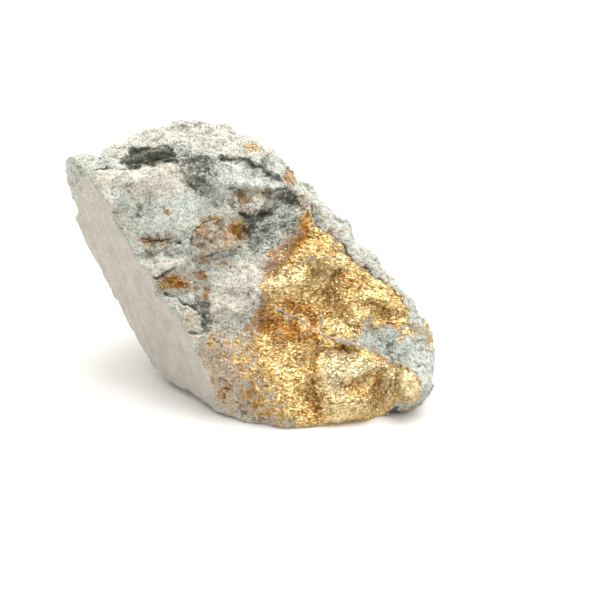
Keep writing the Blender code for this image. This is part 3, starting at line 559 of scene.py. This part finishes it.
def mineral_cover(points, normals):
    """Each mineral's share of the surface, how sawn it is, and how high cracks and veins stand."""
    coarse = lumpy(points, COARSE, 1)[:, :2]
    fine = lumpy(points, FINE, 4)[:, :2]
    warped = points + BLOTCH_WANDER * lumpy(points, BLOTCH_WARP, 6)
    across_layers = facing(*LAYERS)
    squeezed = np.outer(points @ across_layers, across_layers) * (LAYER_THINNESS - 1.0)
    patterns = (*lumpy(warped, BLOTCH, 2)[:, :2].T, *lumpy(points + squeezed, BLOTCH, 3).T)
    front = smooth_step(*FRONT_EDGE, normals @ OUT)
    flat_place = seen(points)
    place = flat_place + (coarse + EDGE_CRUMBLE * fine) * EDGE_WANDER
    cover = {"worn": np.zeros(len(points)), "painted_highlight": np.zeros(len(points))}
    for (mineral, share, start, full, left_out), pattern in zip(OFF_FRONT, patterns):
        cover[mineral] = share * smooth_step(start, full, pattern) * (1.0 - left_out * front)
    for mineral, share, fade, outline in PATCHES.values():
        some = within(place, front, outline, fade)
        patch = share * smooth_step(-fade, fade, inside(place[some], outline)) * front[some]
        cover[mineral][some] = np.maximum(cover[mineral][some], patch)
    for mineral, share, across, upward, half_width, half_height in SPOTS:
        middle = np.array((across, upward))
        some = within(place, front, (middle,), 2.0 * max(half_width, half_height))
        reach = np.hypot(*((place[some] - middle) / (half_width, half_height)).T)
        spot = share * (1.0 - smooth_step(*SPOT_EDGE, reach)) * front[some]
        cover[mineral][some] = np.maximum(cover[mineral][some], spot)
    relief = np.zeros(len(points))
    crack = np.zeros(len(points))
    vein = np.zeros(len(points))
    vein_place = flat_place + VEIN_WANDER[0] * coarse + VEIN_WANDER[1] * fine
    crack_place = flat_place + CRACK_WANDER[0] * coarse + CRACK_WANDER[1] * fine
    mean_depth, change, change_size = CRACK_DEPTHS
    depths = mean_depth + change * lumpy(points, change_size, 5)[:, 0]
    for depth, half_width, line in LINES.values():
        course = vein_place if depth < 0.0 else crack_place
        some = within(course, front, line, 2.0 * half_width)
        gap, reached, whole = to_line(course[some], line)
        taper = smooth_step(0.0, LINE_END, np.minimum(reached, whole - reached))
        edge = smooth_step(LINE_EDGE[0] * half_width, LINE_EDGE[1] * half_width, gap)
        groove = (1.0 - edge) * taper * front[some]
        if depth < 0.0:
            relief[some] -= depth * groove
            vein[some] = np.maximum(vein[some], groove)
        else:
            relief[some] -= depth * groove * depths[some]
            crack[some] = np.maximum(crack[some], groove * depths[some])
    cover["gold"] *= 1.0 - vein
    cover["rust"] *= 1.0 - vein
    cover["chlorite"] = np.maximum(cover["chlorite"], CRACK_GREEN * crack)
    sawn = np.zeros(len(points))
    calm = cover["worn"].copy()
    for point, around, up in SAWN_FLATS:
        flat = facing(around, up)
        off = np.abs((points - point) @ flat)
        turned = smooth_step(*SAW_FACING, normals @ flat)
        sawn = np.maximum(sawn, (1.0 - smooth_step(*SAW_EDGE, off)) * turned)
        calm = np.maximum(calm, 1.0 - smooth_step(0.0, SAW_CALM, off))
    sawn *= 1.0 - smooth_step(*CHIP_EDGE, inside(place, ROUGH_CHIP))
    cover.update(crack=crack, vein=vein, calm=calm, relief=relief)
    for name in (*MINERALS, "crack", "vein", "calm", "relief"):
        cover[name] *= 1.0 - sawn
    cover["sawn"] = sawn
    return cover


def put_attributes(mesh, values):
    """Stores named numbers at the points of a mesh, for the trees and the material to read."""
    for name, numbers in values.items():
        spot = mesh.attributes.get(name) or mesh.attributes.new(name, "FLOAT", "POINT")
        spot.data.foreach_set("value", np.ascontiguousarray(numbers, np.float32))


def surface_of(mesh):
    """The points of a mesh in millimetres, and its directions out."""
    points = np.empty(len(mesh.vertices) * 3, np.float32)
    normals = np.empty(len(mesh.vertices) * 3, np.float32)
    mesh.vertices.foreach_get("co", points)
    mesh.vertex_normals.foreach_get("vector", normals)
    return points.reshape(-1, 3).astype(float) / MM, normals.reshape(-1, 3).astype(float)


def softened(mesh, points, times):
    """The points of a mesh after each has moved this many times to the middle of its neighbours."""
    ends = np.empty(len(mesh.edges) * 2, np.int32)
    mesh.edges.foreach_get("vertices", ends)
    ends = ends.reshape(-1, 2)
    beside = np.bincount(ends.ravel(), minlength=len(points))
    for _ in range(times):
        total = np.zeros_like(points)
        for axis in range(3):
            for near, far in ((0, 1), (1, 0)):
                beyond = points[ends[:, far], axis]
                total[:, axis] += np.bincount(ends[:, near], beyond, len(points))
        points = total / beside[:, None]
    return points


def place_points(mesh, points):
    """Moves the points of a mesh to these places, in millimetres."""
    mesh.vertices.foreach_set("co", np.ascontiguousarray(points * MM, np.float32).ravel())
    mesh.update()


def bake_modifiers(piece):
    """Replaces a piece's mesh by the one that its modifiers make."""
    graph = bpy.context.evaluated_depsgraph_get()
    made = bpy.data.meshes.new_from_object(piece.evaluated_get(graph))
    piece.modifiers.clear()
    piece.data = made


def new_tree(title, kinds):
    """An empty Geometry Nodes tree, with a named input of each of these kinds."""
    tree = bpy.data.node_groups.new(title, "GeometryNodeTree")
    for name, kind in {"Geometry": "Geometry", **kinds}.items():
        tree.interface.new_socket(name, in_out="INPUT", socket_type=f"NodeSocket{kind}")
    tree.interface.new_socket("Geometry", in_out="OUTPUT", socket_type="NodeSocketGeometry")
    return tree


def bake_tree(piece, tree, chosen):
    """Replaces a piece's mesh by the one that a tree makes of it with these values as inputs."""
    modifier = piece.modifiers.new(tree.name, "NODES")
    modifier.node_group = tree
    for item in tree.interface.items_tree:
        if item.in_out == "INPUT" and item.name in chosen:
            modifier[item.identifier] = chosen[item.name]
    bake_modifiers(piece)


# Rock breaks into chips, and the gold's leaf into low folds that are longest across: the size in
# each direction, and the height
ROCK_CHIPS = (((3.4, 3.4, 2.2), 0.2), ((1.5, 1.5, 1.0), 0.1), ((0.8, 0.8, 0.55), 0.08))
LEAF_CHIPS = (((3.8, 3.0, 2.5), 0.05), ((1.8, 1.1, 0.9), 0.08), ((0.9, 0.6, 0.5), 0.11))
CHIP_TILT = 2.6
CHIP_SHIFT = (7.3, 3.1, 5.7)  # how far apart two sets of chips lie in their pattern
GRAIN = 0.45
GRAIN_HEIGHT = 0.07
LEDGE_SPACING = 1.9
LEDGE_HEIGHT = 0.15
LEDGE_WANDER = 5.0  # how many ledges up or down a layer wanders
LEDGE_WANDER_SIZE = 9.0  # and over what length
LEAF_FROM = (0.25, 0.7)  # from which share of gold its leaf begins to lie over the rock's relief
CALM_LEFT_OUT = 0.65  # how much of the relief is left out where the rock is worn
FOOT_FADE = (0.1, 0.9)  # how high above the foot the relief begins, and is whole
FLAT_FROM = 0.3  # from which share of gold the faces are flat


def broken(tree, place, chips, first):
    """Height of rock or leaf that is broken into flat tilted chips, a set of them for each size."""
    height = None
    for number, (size, tall) in enumerate(chips, first):
        scaled = add(
            tree,
            "ShaderNodeVectorMath",
            {
                0: place,
                1: tuple(1.0 / (s * MM) for s in size),
                2: tuple(number * shift for shift in CHIP_SHIFT),
            },
            operation="MULTIPLY_ADD",
        )["Vector"]
        cells = add(tree, "ShaderNodeTexVoronoi", {"Vector": scaled, "Scale": 1.0})
        offset = add(
            tree, "ShaderNodeVectorMath", {0: scaled, 1: cells["Position"]}, operation="SUBTRACT"
        )["Vector"]
        tilt = add(
            tree,
            "ShaderNodeVectorMath",
            {0: cells["Color"], 1: (0.5, 0.5, 0.5)},
            operation="SUBTRACT",
        )["Vector"]
        tilted = add(
            tree, "ShaderNodeVectorMath", {0: offset, 1: tilt}, operation="DOT_PRODUCT"
        )["Value"]
        lift = add(tree, "ShaderNodeSeparateXYZ", {0: tilt})["X"]
        sloped = add(
            tree, "ShaderNodeMath", {0: tilted, 1: CHIP_TILT, 2: lift}, operation="MULTIPLY_ADD"
        )[0]
        layer = add(tree, "ShaderNodeMath", {0: sloped, 1: tall * MM}, operation="MULTIPLY")[0]
        if height is None:
            height = layer
        else:
            height = add(tree, "ShaderNodeMath", {0: height, 1: layer}, operation="ADD")[0]
    return height


stone_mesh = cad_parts[STONE].data.copy()
stone_mesh.materials.clear()
merged = bmesh.new()
merged.from_mesh(stone_mesh)
bmesh.ops.remove_doubles(merged, verts=merged.verts, dist=1e-6)
merged.to_mesh(stone_mesh)
merged.free()
stone = put("stone", stone_mesh)
cells = stone.modifiers.new("even cells", "REMESH")
cells.mode = "VOXEL"
cells.voxel_size = CELL * MM
wear = stone.modifiers.new("facet wear", "SMOOTH")
wear.factor = 0.5
wear.iterations = FACET_WEAR
bake_modifiers(stone)
points, normals = surface_of(stone.data)
worn = mineral_cover(points, normals)["worn"][:, None]
evened = softened(stone.data, points, CALM_REACH)
place_points(stone.data, points + worn * (evened - points))
put_attributes(stone.data, mineral_cover(*surface_of(stone.data)))

tree = new_tree(
    "broken rock",
    {
        "Rock height": "Float",
        "Leaf height": "Float",
        "Grain height": "Float",
        "Ledge height": "Float",
        "Material": "Material",
    },
)
given = add(tree, "NodeGroupInput")
position = add(tree, "GeometryNodeInputPosition")[0]
normal = add(tree, "GeometryNodeInputNormal")[0]
shares = {
    name: add(tree, "GeometryNodeInputNamedAttribute", {"Name": name}, data_type="FLOAT")[0]
    for name in ("gold", "sawn", "calm", "relief")
}
grain = add(
    tree,
    "ShaderNodeTexNoise",
    {"Vector": position, "Scale": 1.0 / (GRAIN * MM), "Detail": 1.0, "Roughness": 0.6},
)[0]
rock_height = add(
    tree,
    "ShaderNodeMath",
    {0: grain, 1: given["Grain height"], 2: broken(tree, position, ROCK_CHIPS, 1)},
    operation="MULTIPLY_ADD",
)[0]
wander = add(
    tree,
    "ShaderNodeTexNoise",
    {"Vector": position, "Scale": 1.0 / (LEDGE_WANDER_SIZE * MM), "Detail": 2.0},
)[0]
layer_count = add(
    tree,
    "ShaderNodeVectorMath",
    {0: position, 1: tuple(facing(*LAYERS) / (LEDGE_SPACING * MM))},
    operation="DOT_PRODUCT",
)["Value"]
layer_count = add(
    tree, "ShaderNodeMath", {0: wander, 1: LEDGE_WANDER, 2: layer_count}, operation="MULTIPLY_ADD"
)[0]
ledge = add(tree, "ShaderNodeMath", {0: layer_count}, operation="FRACT")[0]
rock_height = add(
    tree,
    "ShaderNodeMath",
    {0: ledge, 1: given["Ledge height"], 2: rock_height},
    operation="MULTIPLY_ADD",
)[0]
rock_height = add(
    tree, "ShaderNodeMath", {0: rock_height, 1: given["Rock height"]}, operation="MULTIPLY"
)[0]
leaf_height = add(
    tree,
    "ShaderNodeMath",
    {0: broken(tree, position, LEAF_CHIPS, 11), 1: given["Leaf height"]},
    operation="MULTIPLY",
)[0]
gold_share = add(
    tree,
    "ShaderNodeMapRange",
    {"Value": shares["gold"], "From Min": LEAF_FROM[0], "From Max": LEAF_FROM[1]},
    interpolation_type="SMOOTHSTEP",
)["Result"]
rock_and_leaf = add(
    tree,
    "ShaderNodeMix",
    {"Factor": gold_share, "A": rock_height, "B": leaf_height},
    data_type="FLOAT",
)["Result"]
with_cracks = add(
    tree, "ShaderNodeMath", {0: shares["relief"], 1: MM, 2: rock_and_leaf}, operation="MULTIPLY_ADD"
)[0]
above_foot = add(
    tree,
    "ShaderNodeMapRange",
    {
        "Value": add(tree, "ShaderNodeSeparateXYZ", {0: position})["Z"],
        "From Min": FOOT_FADE[0] * MM,
        "From Max": FOOT_FADE[1] * MM,
    },
    interpolation_type="SMOOTHSTEP",
)["Result"]
rough = add(tree, "ShaderNodeMath", {0: 1.0, 1: shares["sawn"]}, operation="SUBTRACT")[0]
rough = add(
    tree,
    "ShaderNodeMath",
    {0: shares["calm"], 1: -CALM_LEFT_OUT, 2: rough},
    operation="MULTIPLY_ADD",
)[0]
rough = add(tree, "ShaderNodeMath", {0: rough, 1: above_foot}, operation="MULTIPLY")[0]
shift = add(tree, "ShaderNodeMath", {0: with_cracks, 1: rough}, operation="MULTIPLY")[0]
offset = add(tree, "ShaderNodeVectorMath", {0: normal, "Scale": shift}, operation="SCALE")["Vector"]
moved = add(tree, "GeometryNodeSetPosition", {"Geometry": given["Geometry"], "Offset": offset})[0]
solid = add(tree, "GeometryNodeRealizeInstances", {"Geometry": moved})[0]
coloured = add(
    tree, "GeometryNodeSetMaterial", {"Geometry": solid, "Material": given["Material"]}
)[0]
add(tree, "NodeGroupOutput", {"Geometry": coloured})

rock = bpy.data.materials.new("schist_quartz_and_native_gold")
bake_tree(
    stone,
    tree,
    {
        "Rock height": 1.0,
        "Leaf height": 1.0,
        "Grain height": 2.0 * GRAIN_HEIGHT * MM,
        "Ledge height": LEDGE_HEIGHT * MM,
        "Material": rock,
    },
)
stone.data.calc_loop_triangles()
thin = stone.modifiers.new("thin", "DECIMATE")
thin.ratio = min(0.99, TRIANGLES / len(stone.data.loop_triangles))
thin.use_collapse_triangulate = True
bake_modifiers(stone)

points, normals = surface_of(stone.data)
low, high = (np.array(corner) / MM for corner in cad_box)
points = np.clip(points, low, high)
place_points(stone.data, points)
cover = mineral_cover(points, normals)
# Painted shade: how far each point is sunk below its neighbours, which darkens the hollows
sunk = ((softened(stone.data, points, HOLLOW_REACH) - points) * normals).sum(1)
cover["hollow"] = sunk * (1.0 - cover["sawn"])
put_attributes(stone.data, cover)
corners = np.empty(len(stone.data.loops), np.int32)
stone.data.loops.foreach_get("vertex_index", corners)
# The gold's faces stay flat, so that each mirrors a spot of its own
gold_of_faces = cover["gold"][corners.reshape(-1, 3)].mean(1)
stone.data.polygons.foreach_set("use_smooth", gold_of_faces < FLAT_FROM)

# Schist is a tight mass of fine pale and green grains with a satin gleam, quartz is white with
# grey specks, rust stains both brown, and the saw leaves faint bands. Native gold coats the rock
# as a thin crumpled leaf, which gives the eye a mirror that is broken into glints.
# The real grains are about 0.1 mm, too fine to show in the render, so the finest pattern of each
# is drawn 0.3 to 0.5 mm wide. The sizes are in millimetres.
ROCK_FINE = (((0.9, 0.9, 0.7), 0.105), ((0.45, 0.45, 0.35), 0.095))
LEAF_FINE = (((0.95, 0.65, 0.5), 0.12), ((0.48, 0.36, 0.3), 0.13))
LEAF_STRETCH = (0.85, 1.0, 1.05)  # makes the leaf's glints and creases longest across
LEAF_GLINT = 0.42
LEAF_BLUSH = 1.3  # the yellower spots of the gold
CRINKLES = ((1.3, 0.16), (0.7, 0.2))  # the leaf's cells, and the part of one that its border takes
CREASE_SWAY = 0.7  # how far a crease sways, as a part of the cell
GRAIN_SIZE = 0.33
FELT_SIZE = 0.45  # the mass of fibres between the grains
CLUSTER_SIZE = 3.0  # spots where pale or dark grains gather
CLOUD_SIZE = 9.0  # paler and darker stretches of rock
SCATTER_SIZE = 1.1  # how the grains of a mineral scatter at its edge
FLECK_SIZE = 1.4  # and those of gold and rust
FLECK_EDGE = 0.45
ROCK_ROUGHNESS = 0.75
LEAF_ROUGHNESS = 0.38
RUST_ON_LEAF = 0.22  # how much of the gold a full share of rust takes
SAW_TURN = (0.0, math.radians(-30.0), math.radians(-40.0))
SAW_STRETCH = (0.0012, 0.0012, 0.02)  # in metres: the bands of the saw are long and thin
NOISE_SPAN = (0.33, 0.67)  # between which the values of a noise mostly lie

rock.use_nodes = True
tree = rock.node_tree
surface = tree.nodes["Principled BSDF"]
place = add(tree, "ShaderNodeTexCoord")["Object"]
share = {
    name: add(tree, "ShaderNodeAttribute", attribute_name=name)["Fac"]
    for name in (*MINERALS, "painted_highlight", "crack", "vein", "sawn", "hollow", "calm")
}
along_leaf = add(tree, "ShaderNodeVectorMath", {0: place, 1: LEAF_STRETCH}, operation="MULTIPLY")[0]
grains = add(
    tree, "ShaderNodeTexVoronoi", {"Vector": place, "Scale": 1.0 / (GRAIN_SIZE * MM)}
)["Color"]
grain_tone, speck_chance, _ = add(tree, "ShaderNodeSeparateColor", {0: grains})


def mottle(size, detail, roughness, shift, where=place):
    """Uneven light and dark from 0 to 1, with patches of this size and ever finer ones in them."""
    moved = add(
        tree, "ShaderNodeVectorMath", {0: where, 1: (shift, shift, shift)}, operation="ADD"
    )[0]
    noise = add(
        tree,
        "ShaderNodeTexNoise",
        {"Vector": moved, "Scale": 1.0 / (size * MM), "Detail": detail, "Roughness": roughness},
    )[0]
    low, high = NOISE_SPAN
    span = {"Value": noise, "From Min": low, "From Max": high}
    return add(tree, "ShaderNodeMapRange", span)["Result"]


def mixed(pattern, *others):
    """A pattern with others mixed in one by one, each with its part of what there is then."""
    for part, other in others:
        pattern = add(
            tree, "ShaderNodeMix", {"Factor": part, "A": pattern, "B": other}, data_type="FLOAT"
        )["Result"]
    return pattern


def layered(colour, *coats):
    """A colour with others laid over it one by one, each as far as its part says."""
    for part, coat in coats:
        colour = add(
            tree, "ShaderNodeMix", {"Factor": part, 6: colour, 7: coat}, data_type="RGBA"
        )[2]
    return colour


def showing(cover, start, full, most=1.0, texture=None):
    """How far a mineral or a stain shows: not where its cover is at start, and most at full.

    With a texture it shows grain by grain, and start and full are its cover less the texture.
    """
    if texture is not None:
        cover = add(tree, "ShaderNodeMath", {0: cover, 1: texture}, operation="SUBTRACT")[0]
    return add(
        tree,
        "ShaderNodeMapRange",
        {"Value": cover, "From Min": start, "From Max": full, "To Max": most},
        interpolation_type="SMOOTHSTEP",
    )["Result"]


def grained(tone, dark, middle, pale):
    """The colour of a rock or a leaf whose grains run from dark to pale."""
    return layered(
        linear(dark),
        (showing(tone, 0.1, 0.5), linear(middle)),
        (showing(tone, 0.5, 0.9), linear(pale)),
    )


def creases(size, width):
    """Up to 0.5 on the thin wandering borders between the leaf's cells of this size."""
    sway = CREASE_SWAY * size * MM
    swayed = add(
        tree, "ShaderNodeTexNoise", {"Vector": place, "Scale": 1.0 / sway, "Detail": 2.0}
    )["Color"]
    moved = add(
        tree,
        "ShaderNodeVectorMath",
        {0: swayed, 1: (sway, sway, sway), 2: along_leaf},
        operation="MULTIPLY_ADD",
    )[0]
    border = add(
        tree,
        "ShaderNodeTexVoronoi",
        {"Vector": moved, "Scale": 1.0 / (size * MM)},
        feature="DISTANCE_TO_EDGE",
    )["Distance"]
    crease = add(
        tree,
        "ShaderNodeMapRange",
        {"Value": border, "From Max": width, "To Min": 1.0, "To Max": 0.0},
    )["Result"]
    return add(
        tree,
        "ShaderNodeMath",
        {0: crease, 1: showing(clusters, 0.0, 0.8, 0.5)},
        operation="MULTIPLY",
    )[0]


clusters = mottle(CLUSTER_SIZE, 3.0, 0.6, 0.0)
clouds = mottle(CLOUD_SIZE, 2.0, 0.5, 0.77)
tone = mixed(clusters, (0.3, grain_tone), (0.55, mottle(FELT_SIZE, 4.0, 0.8, 0.53)))
scatter = mixed(mottle(SCATTER_SIZE, 5.0, 0.75, 0.31), (0.35, grain_tone))
fleck_scatter = mixed(
    mottle(FLECK_SIZE, 5.0, 0.62, 0.19), (0.3, mottle(FLECK_EDGE, 3.0, 0.7, 0.43))
)
saw_place = add(
    tree,
    "ShaderNodeMapping",
    {"Vector": place, "Rotation": SAW_TURN, "Scale": SAW_STRETCH},
    vector_type="TEXTURE",
)[0]
saw_marks = add(tree, "ShaderNodeTexNoise", {"Vector": saw_place, "Scale": 1.0, "Detail": 3.0})[0]
saw_tone = mixed(clusters, (0.35, showing(saw_marks, 0.3, 0.7)))

green_here = showing(share["green"], -0.25, 0.25, texture=scatter)
chlorite_here = showing(share["chlorite"], -0.2, 0.2, texture=scatter)
quartz_here = showing(share["quartz"], -0.3, 0.3, texture=scatter)
rust_here = showing(share["rust"], -0.4, 0.4, texture=fleck_scatter)
rock_colour = layered(
    grained(tone, "#4F564D", "#C8CABF", "#F0EFE6"),
    (showing(clouds, 0.2, 0.9, 0.35), linear("#CECBBE")),
    (green_here, grained(tone, "#6E7B72", "#D1D8CE", "#F2F4EC")),
    (chlorite_here, grained(tone, "#292D26", "#5E6256", "#9FA294")),
    (quartz_here, grained(tone, "#7A7466", "#E4DECF", "#FAF7EE")),
    (rust_here, grained(tone, "#5A3B19", "#A8763A", "#D6AE76")),
    # Round the crust the rock between the flecks of gold is stained
    (showing(share["gold"], 0.1, 0.4, 0.5), linear("#B59C84")),
    (showing(speck_chance, 0.83, 0.97, 0.5), linear("#50574E")),
    # painted shade in the rock's hollows
    (showing(share["hollow"], 0.03, 0.3, 0.5), linear("#544B3C")),
    # painted shade in the rock's cracks
    (showing(share["crack"], 0.3, 0.8, 0.75), linear("#3B382E")),
    (showing(share["vein"], 0.2, 0.6), grained(tone, "#8F857D", "#C6BCB3", "#EAE4DC")),
    (share["sawn"], grained(saw_tone, "#C0B9AE", "#CAC4B9", "#D3CEC4")),
)

gold_cover = add(
    tree,
    "ShaderNodeMath",
    {0: share["rust"], 1: -RUST_ON_LEAF, 2: share["gold"]},
    operation="MULTIPLY_ADD",
)[0]
gold_here = showing(gold_cover, -0.09, 0.09, texture=fleck_scatter)
rusty_leaf = showing(share["rust"], -0.3, 0.3, texture=fleck_scatter)
blush = mottle(LEAF_BLUSH, 4.0, 0.7, 0.91)
glint = mottle(LEAF_GLINT, 3.0, 0.8, 0.13, along_leaf)
leaf_colour = layered(
    grained(glint, "#BC8C4A", "#F9D892", "#FFF8D8"),
    (showing(rusty_leaf, 0.0, 1.0, 0.85), linear("#B0732E")),
    # painted highlight: the gold is paler where its facets catch the lamp
    (share["painted_highlight"], grained(glint, "#E6C07C", "#FFF1C4", "#FFFBE4")),
    (showing(blush, 0.5, 0.9, 0.5), linear("#EFCB6E")),
    *((creases(size, width), linear("#78501C")) for size, width in CRINKLES),
    # painted shade in the leaf's hollows
    (showing(share["hollow"], 0.02, 0.14, 0.25), linear("#8A5C20")),
    # painted shade in the leaf's folds and cracks
    (showing(share["crack"], 0.3, 0.85, 0.7), linear("#6E4516")),
)
crumpled = add(
    tree,
    "ShaderNodeMath",
    {0: broken(tree, place, LEAF_FINE, 41), 1: mixed(1.0, (share["calm"], 0.4))},
    operation="MULTIPLY",
)[0]
crumbled = broken(tree, place, ROCK_FINE, 31)
bump = add(
    tree,
    "ShaderNodeBump",
    {"Height": mixed(crumbled, (gold_here, crumpled)), "Distance": 1.0, "Strength": 1.0},
)[0]
for socket, value in (
    ("Base Color", layered(rock_colour, (gold_here, leaf_colour))),
    ("Metallic", gold_here),
    ("Roughness", mixed(ROCK_ROUGHNESS, (gold_here, LEAF_ROUGHNESS))),
    ("Normal", bump),
):
    tree.links.new(value, surface.inputs[socket])
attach(stone, "root")
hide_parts(STONE)

# The grains
# Small grains of schist and quartz stand out of every broken face, and round the crust lie flecks
# of native gold too small to be part of it. Each is an uneven lump, set half into the rock.
SCHIST_GRAINS = ((0.13, 0.11, 0.06), (0.42, 0.34, 0.18))  # the smallest and the largest
GOLD_FLECKS = ((0.09, 0.08, 0.04), (0.3, 0.24, 0.11))
GRAINS_PER_MM2 = 0.7
FLECKS_PER_MM2 = 1.6
GRAINS_END = (0.4, 0.8)  # from which share of gold the grains grow fewer, and where none are left
FLECKS_START = (0.08, 0.35)  # from which share the flecks begin, and where they are most
FLECKS_END = (0.75, 0.95)
WORN_OFF = 0.6  # how much of the grains a worn face has lost
UNEVEN = 0.12
DENT_SIZE = 0.2
LEAN = (0.6, 0.6, math.pi)  # how far a grain may be turned, in radians
CLEAR_OF_TABLE = (0.3, 1.5)  # how high above the foot the grains begin, and are as many as above

tree = new_tree(
    "grains on a broken face",
    {
        "Where": "String",
        "Grains per square metre": "Float",
        "Smallest": "Vector",
        "Largest": "Vector",
        "Seed": "Int",
        "Material": "Material",
    },
)
given = add(tree, "NodeGroupInput")
where = add(tree, "GeometryNodeInputNamedAttribute", {"Name": given["Where"]}, data_type="FLOAT")[0]
crowd = add(
    tree, "ShaderNodeMath", {0: where, 1: given["Grains per square metre"]}, operation="MULTIPLY"
)[0]
spread = add(
    tree,
    "GeometryNodeDistributePointsOnFaces",
    {"Mesh": given["Geometry"], "Density": crowd, "Seed": given["Seed"]},
)
size = add(
    tree,
    "FunctionNodeRandomValue",
    {0: given["Smallest"], 1: given["Largest"], "Seed": given["Seed"]},
    data_type="FLOAT_VECTOR",
)[0]
lean = add(
    tree,
    "FunctionNodeRandomValue",
    {0: tuple(-angle for angle in LEAN), 1: LEAN, "Seed": given["Seed"]},
    data_type="FLOAT_VECTOR",
)[0]
turned = add(
    tree,
    "FunctionNodeRotateRotation",
    {"Rotation": spread["Rotation"], "Rotate By": lean},
    rotation_space="LOCAL",
)[0]
grain = add(tree, "GeometryNodeMeshIcoSphere", {"Radius": MM, "Subdivisions": 1})["Mesh"]
placed = add(
    tree,
    "GeometryNodeInstanceOnPoints",
    {"Points": spread["Points"], "Instance": grain, "Rotation": turned, "Scale": size},
)[0]
solid = add(tree, "GeometryNodeRealizeInstances", {"Geometry": placed})[0]
position = add(tree, "GeometryNodeInputPosition")[0]
dents = add(
    tree, "ShaderNodeTexNoise", {"Vector": position, "Scale": 1.0 / (DENT_SIZE * MM)}
)["Color"]
dent = add(
    tree,
    "ShaderNodeVectorMath",
    {0: dents, 1: (2.0 * UNEVEN * MM,) * 3, 2: (-UNEVEN * MM,) * 3},
    operation="MULTIPLY_ADD",
)["Vector"]
dented = add(tree, "GeometryNodeSetPosition", {"Geometry": solid, "Offset": dent})[0]
coloured = add(
    tree, "GeometryNodeSetMaterial", {"Geometry": dented, "Material": given["Material"]}
)[0]
add(tree, "NodeGroupOutput", {"Geometry": coloured})

gold_share = cover["gold"]
bare = (1.0 - cover["sawn"]) * smooth_step(*CLEAR_OF_TABLE, points[:, 2])
off_gold = 1.0 - smooth_step(*GRAINS_END, gold_share)
near_gold = smooth_step(*FLECKS_START, gold_share) * (1.0 - smooth_step(*FLECKS_END, gold_share))
put_attributes(
    stone.data,
    {
        "bare rock": bare * off_gold * (1.0 - WORN_OFF * cover["calm"]),
        "near the crust": bare * near_gold,
    },
)

# Native gold is soft and untarnished: a fleck gives the eye one small warm glint
fleck_gold = even_material(
    "native_gold", {"Base Color": linear("#EDC684"), "Metallic": 1.0, "Roughness": 0.3}
)

for name, where, crowd, (smallest, largest), material, seed in (
    ("schist_grains", "bare rock", GRAINS_PER_MM2, SCHIST_GRAINS, rock, 3),
    ("gold_flecks", "near the crust", FLECKS_PER_MM2, GOLD_FLECKS, fleck_gold, 8),
):
    piece = put(name, stone.data.copy())
    bake_tree(
        piece,
        tree,
        {
            "Where": where,
            "Grains per square metre": crowd / MM**2,
            "Smallest": smallest,
            "Largest": largest,
            "Seed": seed,
            "Material": material,
        },
    )
    points, _ = surface_of(piece.data)
    place_points(piece.data, np.clip(points, low, high))
    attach(piece, "root")
